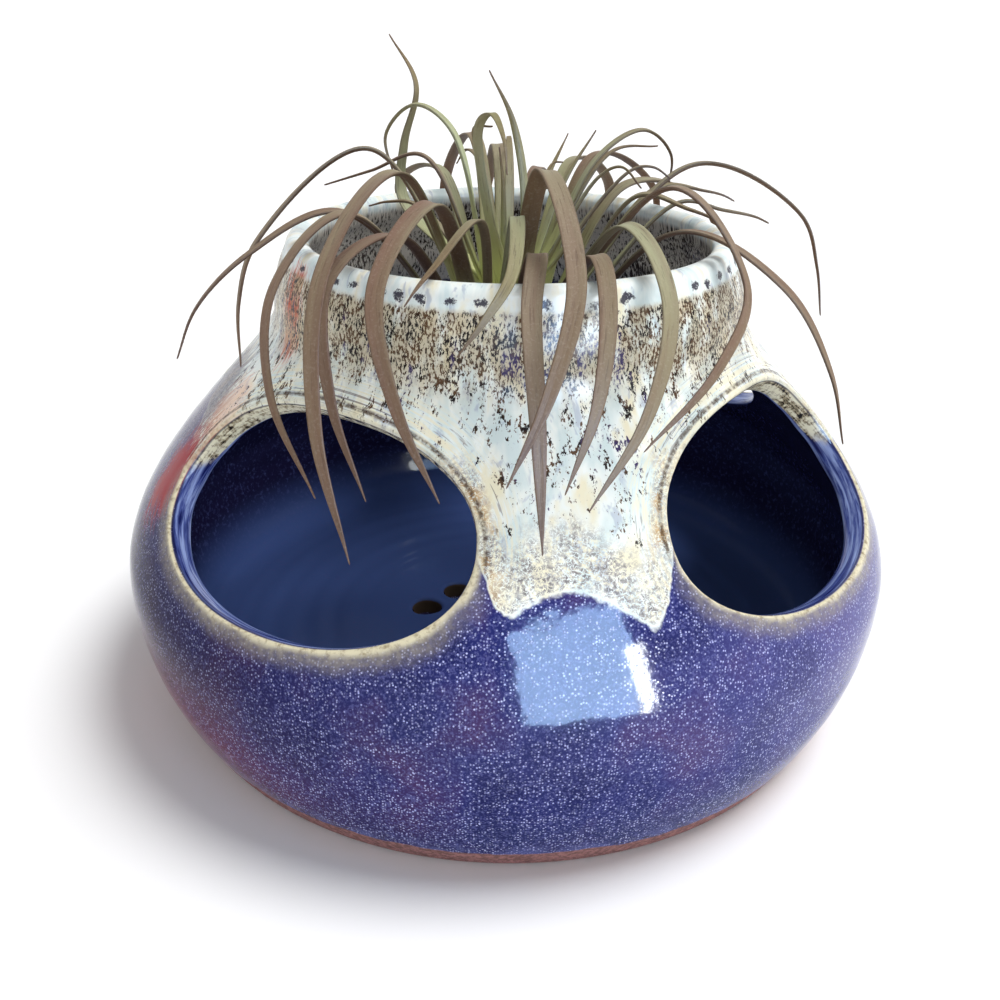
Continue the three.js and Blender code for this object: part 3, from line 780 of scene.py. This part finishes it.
# The plant's stump: ridged dry leaf bases wound round a short stem
stump = tints(
    bark=(104, 84, 62), barkDark=(54, 42, 32), barkPale=(150, 132, 104),
) | {
    "radius": 11, "top": 120, "length": 32, "shoulder": 5, "baseRise": 3, "segments": 72, "rows": 40,
    "topRound": ((10.98, 0), (5, 0), (1.4, -1.6)), "baseRound": ((1.2, 0.8), (4, 0), (10.98, 0)),
    "leastRadius": 0.02, "ridges": 11, "ridgeHeight": 0.9, "ridgePower": 0.6,
    "scaleTurns": 5, "scaleHeight": 0.6,
    "roughness": (0.9, 0.7), "specular": 0.5, "bump": (0.5, 0.0008), "fibreRun": 0.12,
    "patterns": {"fibres": (1400, 4, 0.65), "bark": (180, 3)}, "limits": {"bark": (0.62, 0.4, 0, 0.55)},
}


def stumpMaterial():
    n = newMaterial("dryLeafBases", stump["patterns"], stump["limits"])
    place = n.place()
    fibres = n.pattern("fibres", n.drawn(place, stump["fibreRun"]))
    colour = n.ramp(fibres, stump, (0.34, "barkDark"), (0.5, "bark"), (0.66, "barkPale"))
    colour = n.mix(n.patch("bark", place), colour, stump["barkDark"])
    roughness = n.step(fibres, 0, 1, *stump["roughness"])
    return n.finish(colour, roughness, stump["specular"], stump["bump"], fibres)


def makeStump():
    base = stump["top"] - stump["length"]
    profile = [(stump["radius"] - inset, stump["top"] + over) for inset, over in stump["topRound"]]
    for height in np.linspace(stump["top"] - stump["shoulder"], base + stump["baseRise"], stump["rows"]):
        profile.append((stump["radius"], height))
    profile += [(stump["radius"] - inset, base + over) for inset, over in stump["baseRound"]]
    angles = np.linspace(0, 2 * pi, stump["segments"], endpoint=False)
    points = []
    for radius, height in profile:
        twist = stump["scaleTurns"] * (stump["top"] - height) / stump["length"]
        ridge = np.abs(np.sin(stump["ridges"] / 2 * angles + twist)) ** stump["ridgePower"] - 1
        overlap = (twist + angles / (2 * pi)) % 1 - 1
        uneven = stump["ridgeHeight"] * ridge + stump["scaleHeight"] * overlap
        reach = np.maximum(radius + uneven * min(1, radius / stump["radius"]), stump["leastRadius"])
        row = [reach * np.cos(angles), reach * np.sin(angles), np.full_like(angles, height)]
        points += np.stack(row, axis=1).tolist()
    piece = makePiece("stump", points, tubeFaces(len(profile), stump["segments"]), {}, stumpMaterial())
    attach(piece, "plant")
    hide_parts("plant_stem")
    print("stump: 1 piece")


makeStump()

# Leaves: channelled straps, wide at the base and drawn out to a thin tip
leaf = {
    "thickness": 1.2, "edgeThickness": 0.25, "channel": 0.12, "channelPower": 1.6, "gap": 0.4,
    "baseFlare": 1.7, "baseWidth": 8.5, "baseLength": 0.3, "baseChannel": 0.2,
    "hangingTaper": 5.5, "crownTaper": 2.8, "narrowing": 0.83, "tipWidth": 0.4, "tipThinness": 0.4,
    "twist": 7, "twistWaves": 1.25, "twistShift": 1.7, "grainRun": 0.06, "grainShift": 7.3,
    "stagger": 0.8, "rootPull": 0.5, "crownRing": 7.5, "heartRing": 3,
    "fallDrop": 0.5, "fallSwing": 0.5, "fallReach": 0.7, "crestTop": 22,
    "pathSteps": 60, "steps": 56, "across": 7,
}
# Leaves over the rim: width, tone (0 mauve-brown to 1 grey-green), then crest, turn and tip
# The crest is azimuth, radius and height over the rim; turn and tip stand off the wall
hangingLeaves = {
    "back_1": (5.5, 0.4, (-174, 40, 15), (-174, 6, 2), (-170, 9, -38)),
    "back_2": (5, 0.3, (-162, 36, 19), (-163, 8, 3), (-166, 14, -46)),
    "back_3": (5, 0.5, (-149, 42, 9), (-149, 6, 0), (-155, 8, -26)),
    "left_arch": (5, 0.35, (-88, 39, 21), (-80, 3, -2), (-63, 7, -30)),
    "left_low": (4.5, 0.3, (-70, 48, 7), (-71, 6, -3), (-71, 22, -30)),
    "left_front": (5, 0.25, (-61, 48, 8), (-51, 7, -5), (-28, 8, -45)),
    "left_wide": (6.5, 0.3, (-51, 36, 18), (-34, 9, 3), (-20, 7, -55)),
    "opening_1": (5.5, 0.2, (-39, 45, 5), (-37, 4, -1), (-21, 4, -45)),
    "opening_2": (6.5, 0.3, (-28, 40, 13), (-24, 7, 0), (-9, 11, -41)),
    "front_short": (3.5, 0.5, (-14, 32, 8), (-17, -6, 3), (-19, 6, -3)),
    "front_pale": (5, 0.7, (2, 40, 11), (0, 0, 3), (-9, 8, -13)),
    "front_wide": (6.5, 0.3, (7, 52, 5), (4, 3, -3), (5, 6, -51)),
    "front_arch": (6.5, 0.35, (11, 40, 22), (11, 9, 4), (0, 25, -33)),
    "front_right": (6, 0.35, (23, 52, 4), (18, 5, -3), (8, 14, -38)),
    "right_front": (6, 0.5, (37, 46, 9), (30, 6, -2), (11, 14, -41)),
    "right_sweep": (5, 0.3, (55, 50, 17), (56, 4, -4), (23, 5, -35)),
    "right_long": (5, 0.3, (61, 50, 5), (63, 11, -6), (70, 8, -50)),
    "right_short": (4.5, 0.5, (67, 36, 12), (67, -17, 10), (66, -6, 6)),
    "right_tip_1": (3.5, 0.5, (88, 46, 8), (90, -8, 6), (92, 6, 2)),
    "right_arch": (5, 0.35, (98, 52, 17), (91, 14, 5), (88, 22, -23)),
    "right_tip_2": (3.5, 0.5, (108, 44, 9), (107, -8, 8), (105, 1, 5)),
    "back_right_1": (5, 0.4, (128, 42, 7), (126, 6, 1), (120, 12, -34)),
    "back_right_2": (4.5, 0.3, (141, 38, 15), (141, 7, 1), (143, 12, -28)),
    "back_4": (5.5, 0.45, (154, 40, 12), (154, 7, 1), (160, 8, -44)),
    "back_5": (5, 0.3, (171, 42, 7), (171, 5, 0), (172, 9, -30)),
}
# Standing leaves: width and tone, then places by azimuth, radius and height over the rim
crownLeaves = {
    "back": (4, 0.5, (-178, 20, 12), (-178, 32, 20), (-178, 42, 14)),
    "back_left": (4, 0.5, (-154, 20, 14), (-153, 30, 17), (-152, 36, 12)),
    "tall": (6, 0.6, (-132, 45, 2), (-132, 44, 18), (-132, 38, 35), (-132, 49, 48)),
    "left_low": (4, 0.4, (-117, 31, 3), (-117, 41, 3), (-117, 48, 1)),
    "left_thin": (3, 0.4, (-107, 26, 18), (-106, 42, 13), (-106, 57, 8)),
    "green_arch": (6, 0.95, (-96, 17, 26), (-96, 27, 32), (-96, 35, 24), (-96, 33, 13)),
    "front_curl": (4.5, 0.7, (-30, 18, 28), (-12, 24, 33), (-4, 30, 28), (-2, 33, 20)),
    "right_curl": (4, 0.6, (82, 24, 15), (80, 30, 18), (76, 36, 13)),
    "right_low": (4, 0.5, (93, 33, 16), (92, 39, 17), (91, 44, 14)),
    "right_arch": (5, 0.5, (111, 26, 18), (111, 40, 25), (111, 49, 18), (111, 49, 8)),
    "right_thin": (3, 0.5, (122, 33, 18), (122, 51, 19)),
    "spike_1": (3, 0.6, (134, 21, 10), (131, 32, 24)),
    "spike_2": (3, 0.6, (152, 20, 8), (150, 33, 22)),
}
heartLeaves = {
    "left": (4, 0.7, (-80, 8, 14), (-60, 12, 27), (-20, 15, 29)),
    "thin": (2.5, 0.7, (-23, 6, 12), (-26, 8, 23)),
    "spike": (4, 0.75, (40, 6, 8), (0, 5, 29), (-40, 10, 42)),
    "stub": (3.5, 0.7, (70, 7, 6), (75, 8, 14)),
    "hook": (3, 0.6, (115, 9, 8), (134, 16, 16), (133, 20, 16)),
}
leafFinish = tints(
    base=(214, 220, 158), green=(182, 192, 154), olive=(140, 130, 92), mauve=(128, 101, 86),
    brown=(114, 87, 70), tip=(104, 80, 62), bloom=(186, 176, 160), edge=(70, 48, 36), under=(98, 70, 51),
) | {
    "roughness": (0.46, 0.62), "specular": 0.15, "bump": (0.3, 0.0004),
    "patterns": {"drift": (0.25, 3), "veins": (2.2, 3, 0.6), "bloom": (1500, 3, 0.6)},
    "limits": {"drift": 0.6}, "bloomRelief": 0.3,
    # From where to where a part shows, then its strengths there
    "toneBlend": (0.1, 0.9), "veinLevel": (0.44, 0.32, 0, 0.4), "bloomLevel": (0.5, 0.7, 0, 0.14),
    "bloomRough": (0.3, 0.7), "underSide": (0.4, 0.8), "underAlong": (0.05, 0.22),
    "underTone": (0.3, 0.8, 0.85, 0.25), "edgeAcross": (0.8, 1, 0, 0.5),
}


def around(azimuth, radius, height):
    angle = radians(azimuth)
    return np.array([radius * sin(angle), -radius * cos(angle), height])


# Roots stand round the stump in turn, each drawn part of the way to its leaf's own side
def rootAzimuth(number, count, azimuth):
    even = -180 + 360 * (number + 0.5) / count
    return even + (azimuth - even) * leaf["rootPull"]


# From the root over the crest to the turn outside the rim, then a fall to the tip
def hangingPath(number, crest, turn, tip):
    root = rootAzimuth(number, len(hangingLeaves), crest[0])
    rootHeight = stump["top"] - stump["shoulder"] - leaf["stagger"] * (leaf["crestTop"] - crest[2])
    offWall = []
    for azimuth, out, over in (turn, tip):
        height = pot["height"] + over
        offWall.append(np.array([azimuth, outsideRadius(height) + out, height]))
    start, end = offWall
    fall = start + (end - start) * (leaf["fallSwing"], leaf["fallReach"], leaf["fallDrop"])
    stops = [(root, stump["radius"] + leaf["gap"] + leaf["thickness"], rootHeight),
             (crest[0], crest[1], pot["height"] + crest[2]), start, fall, end]
    return np.array([around(*stop) for stop in stops])


def standingPath(number, count, ring, stops):
    root = rootAzimuth(number, count, stops[0][0])
    places = [around(root, ring, stump["top"] + leaf["gap"] + leaf["thickness"])]
    places += [around(azimuth, radius, pot["height"] + over) for azimuth, radius, over in stops]
    return np.array(places)


# A smooth line through the places, evenly stepped along its length
def smoothPath(places, steps):
    ends = [2 * places[0] - places[1], *places, 2 * places[-1] - places[-2]]
    share = np.linspace(0, 1, leaf["pathSteps"])[:, None]
    line = []
    for before, start, end, after in zip(ends, ends[1:], ends[2:], ends[3:]):
        pairs = ((before, start), (start, end), (end, after))
        gapIn, gap, gapOut = (sqrt(np.linalg.norm(b - a)) for a, b in pairs)
        slopeStart = (start - before) / gapIn - (end - before) / (gapIn + gap) + (end - start) / gap
        slopeEnd = (end - start) / gap - (after - start) / (gap + gapOut) + (after - end) / gapOut
        slopeStart, slopeEnd = slopeStart * gap, slopeEnd * gap
        cubic = 2 * start - 2 * end + slopeStart + slopeEnd
        square = -3 * start + 3 * end - 2 * slopeStart - slopeEnd
        line.append(cubic * share ** 3 + square * share ** 2 + slopeStart * share + start)
    line = np.vstack(line)
    length = lengthAlong(line)
    even = np.linspace(0, length[-1], steps + 1)
    return np.stack([np.interp(even, length, line[:, axis]) for axis in range(3)], axis=1), length[-1]


def leafMaterial():
    n = newMaterial("scalyLeaf", leafFinish["patterns"], leafFinish["limits"])
    along, tone = n.attribute("along"), n.attribute("tone")
    across = n.math("ABSOLUTE", n.attribute("across"))
    grain = n.attribute("grain", "Vector")
    browns = ((0.08, "base"), (0.22, "olive"), (0.38, "mauve"), (0.85, "brown"), (1, "tip"))
    brown = n.ramp(along, leafFinish, *browns)
    green = n.ramp(along, leafFinish, (0.12, "base"), (0.4, "green"), (0.85, "olive"), (1, "tip"))
    blend = n.plus(tone, n.wander("drift", grain))
    colour = n.mix(n.step(blend, *leafFinish["toneBlend"]), brown, green)
    veins = n.pattern("veins", grain)
    colour = n.mix(n.step(veins, *leafFinish["veinLevel"]), colour, leafFinish["edge"])
    # Lower faces a darker brown: partly the leaves' own underside colour, partly painted shade
    below = n.step(n.attribute("under"), *leafFinish["underSide"])
    share = n.step(tone, *leafFinish["underTone"])
    below = n.times(below, n.step(along, *leafFinish["underAlong"]), share)
    colour = n.mix(below, colour, leafFinish["under"])
    bloom = n.pattern("bloom", n.place())
    colour = n.mix(n.step(bloom, *leafFinish["bloomLevel"]), colour, leafFinish["bloom"])
    colour = n.mix(n.step(across, *leafFinish["edgeAcross"]), colour, leafFinish["edge"])
    relief = n.plus(veins, n.times(bloom, leafFinish["bloomRelief"]))
    roughness = n.step(bloom, *leafFinish["bloomRough"], *leafFinish["roughness"])
    return n.finish(colour, roughness, leafFinish["specular"], leafFinish["bump"], relief)


def makeLeaf(name, number, places, width, tone, taperPower, material):
    rows = leaf["steps"] + 1
    line, length = smoothPath(places, leaf["steps"])
    tangent = np.gradient(line, axis=0)
    tangent /= np.linalg.norm(tangent, axis=1)[:, None]
    # Each ring runs across the upper face and back along the lower one, which meet at thin edges
    spread = np.sin(np.linspace(-pi / 2, pi / 2, leaf["across"]))
    across = np.concatenate([spread, spread[-2:0:-1]])
    upper = np.where(np.arange(len(across)) < len(spread), 1, -1)
    fullness = leaf["edgeThickness"] + (1 - leaf["edgeThickness"]) * np.sqrt(np.clip(1 - across ** 2, 0, 1))
    fullness[[0, len(spread) - 1]] = 0
    points, grains = [], []
    for step in range(rows):
        share = step / leaf["steps"]
        place, along = line[step], tangent[step]
        side = np.array([-place[1], place[0], 0]) / max(hypot(place[0], place[1]), 1e-6)
        side = side - along * np.dot(side, along)
        side /= np.linalg.norm(side)
        face = np.cross(along, side)
        lean = radians(leaf["twist"])
        lean *= sin(2 * pi * leaf["twistWaves"] * share + leaf["twistShift"] * number)
        sine, cosine = sin(lean), cos(lean)
        side, face = side * cosine + face * sine, face * cosine - side * sine
        sheath = float(smoothStep(leaf["baseLength"], 0, share))
        flare = width + (min(leaf["baseWidth"], width * leaf["baseFlare"]) - width) * sheath
        taper = 1 - share ** taperPower
        half = max(leaf["tipWidth"], flare * taper * leaf["narrowing"]) / 2
        hollow = leaf["channel"] + (leaf["baseChannel"] - leaf["channel"]) * sheath
        thick = leaf["thickness"] * (leaf["tipThinness"] + (1 - leaf["tipThinness"]) * taper) / 2
        up = 2 * half * hollow * np.abs(across) ** leaf["channelPower"] + thick * fullness * upper
        points += (place + np.outer(across * half, side) + np.outer(up, face)).tolist()
        run, shift = share * length * leaf["grainRun"], number * leaf["grainShift"]
        grains += [(part * half, run, shift) for part in across]
    attributes = {
        "along": np.repeat(np.arange(rows) / leaf["steps"], len(across)), "across": np.tile(across, rows),
        "under": np.tile(0.5 - upper / 2, rows), "grain": grains, "tone": np.full(len(points), tone),
    }
    piece = makePiece(name + "_blade", points, tubeFaces(rows, len(across)), attributes, material)
    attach(piece, "plant")
    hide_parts(name)


def makeLeaves():
    material = leafMaterial()
    number = 0
    families = (("leaf_", hangingLeaves, None), ("crown_leaf_", crownLeaves, leaf["crownRing"]),
                ("heart_leaf_", heartLeaves, leaf["heartRing"]))
    for family, leaves, ring in families:
        taper, slot = (leaf["crownTaper"], "crown_leaf") if ring else (leaf["hangingTaper"], "hanging_leaf")
        for index, (name, (width, tone, *stops)) in enumerate(leaves.items()):
            places = standingPath(index, len(leaves), ring, stops) if ring else hangingPath(index, *stops)
            makeLeaf(family + name, number, places, width, tone, taper, material)
            number += 1
    print("leaves:", number)


makeLeaves()

# Table, light and camera
studio = {
    "floorSize": 40, "floorTint": (0.97, 0.97, 0.97, 1), "floorShade": (0.955, 0.955, 0.957, 1),
    "floorRoughness": (0.75, 0.85), "floorSpecular": 0.2, "floorPatterns": {"table": (3, 2)},
    "world": (1, 1, 1, 1), "worldLeft": 0.04, "worldRight": 0.34, "worldTop": 0.26,
    "horizon": 0.97, "horizonFade": (0.25, 0.5),
    "sunAzimuth": 93, "sunElevation": 66, "sunDistance": 3, "sunStrength": 2.4, "sunSoftness": 28,
}
# Lamps seen only as reflections: azimuth, elevation and distance, then size, power and colour
areaLamps = {
    "window": ((20, 20, 1.6), (0.85, 1.15), 140, (0.42, 0.65, 1)),
    "windowEdge": ((37, 14, 1.6), (0.13, 0.8), 32, (0.95, 1, 0.98)),
}
camera = {
    "place": (0, -301.27, 204.30), "pitch": 26.79, "yaw": -0.34, "roll": 0.954,
    "lens": 38.198, "sensor": 36, "nearest": 0.01,
}


def makeFloor():
    n = newMaterial("paleTable", studio["floorPatterns"], {})
    blotch = n.pattern("table", n.place())
    colour = n.mix(blotch, studio["floorTint"], studio["floorShade"])
    material = n.finish(colour, n.step(blotch, 0, 1, *studio["floorRoughness"]), studio["floorSpecular"])
    half = studio["floorSize"] / 2 / mm
    corners = [(-half, -half, 0), (half, -half, 0), (half, half, 0), (-half, half, 0)]
    floor = makePiece("table", corners, [(0, 1, 2, 3)], {}, material, levels=0)


def addStanding(name, data, place, right, up, back):
    standing = bpy.data.objects.new(name, data)
    bpy.context.scene.collection.objects.link(standing)
    turn = Matrix([(*right,), (*up,), (*back,)]).transposed()
    standing.matrix_world = Matrix.Translation(place) @ turn.to_4x4()
    return standing


def addLamp(name, light, azimuth, elevation, distance):
    turn, rise = radians(azimuth), radians(elevation)
    right = np.array([cos(turn), sin(turn), 0])
    back = np.array([sin(turn) * cos(rise), -cos(turn) * cos(rise), sin(rise)])
    return addStanding(name, light, back * distance, right, np.cross(back, right), back)


def makeLight():
    n = Nodes(bpy.data.worlds.new("studioWorld"))
    bpy.context.scene.world = n.owner
    sides = n.add("SeparateXYZ", {0: n.add("TexCoord", {}).outputs["Generated"]}).outputs
    # Lighter to the right and overhead, and white round the horizon
    slopes = (("X", (-1, 1), (studio["worldLeft"], studio["worldRight"])),
              ("Z", (0, 1), (0, studio["worldTop"])),
              ("Z", studio["horizonFade"], (studio["horizon"], 0)))
    levels = [n.step(sides[axis], *reach, *strength, "LINEAR") for axis, reach, strength in slopes]
    background = n.add("Background", {"Color": studio["world"], "Strength": n.plus(*levels)})
    n.add("OutputWorld", {"Surface": background.outputs[0]})
    sun = bpy.data.lights.new("softKey", "SUN")
    sun.energy = studio["sunStrength"]
    sun.angle = radians(studio["sunSoftness"])
    addLamp("softKey", sun, studio["sunAzimuth"], studio["sunElevation"], studio["sunDistance"])
    for name, (place, size, power, colour) in areaLamps.items():
        light = bpy.data.lights.new(name, "AREA")
        light.shape = "RECTANGLE"
        light.size, light.size_y = size
        light.energy = power
        light.color = colour
        lamp = addLamp(name, light, *place)
        lamp.visible_camera = False
        lamp.visible_diffuse = False


def makeCamera():
    pitch, yaw, roll = (radians(camera[key]) for key in ("pitch", "yaw", "roll"))
    forward = np.array([sin(yaw) * cos(pitch), cos(yaw) * cos(pitch), -sin(pitch)])
    right = np.array([cos(yaw), -sin(yaw), 0])
    up = np.cross(right, forward)
    across = right * cos(roll) + up * sin(roll)
    upward = up * cos(roll) - right * sin(roll)
    lens = bpy.data.cameras.new("camera")
    lens.lens = camera["lens"]
    lens.sensor_width = camera["sensor"]
    lens.clip_start = camera["nearest"]
    place = [part * mm for part in camera["place"]]
    bpy.context.scene.camera = addStanding("camera", lens, place, across, upward, -forward)


makeFloor()
makeLight()
makeCamera()
bpy.context.scene.view_settings.view_transform = "Standard"
print("studio: floor, lamps, camera")
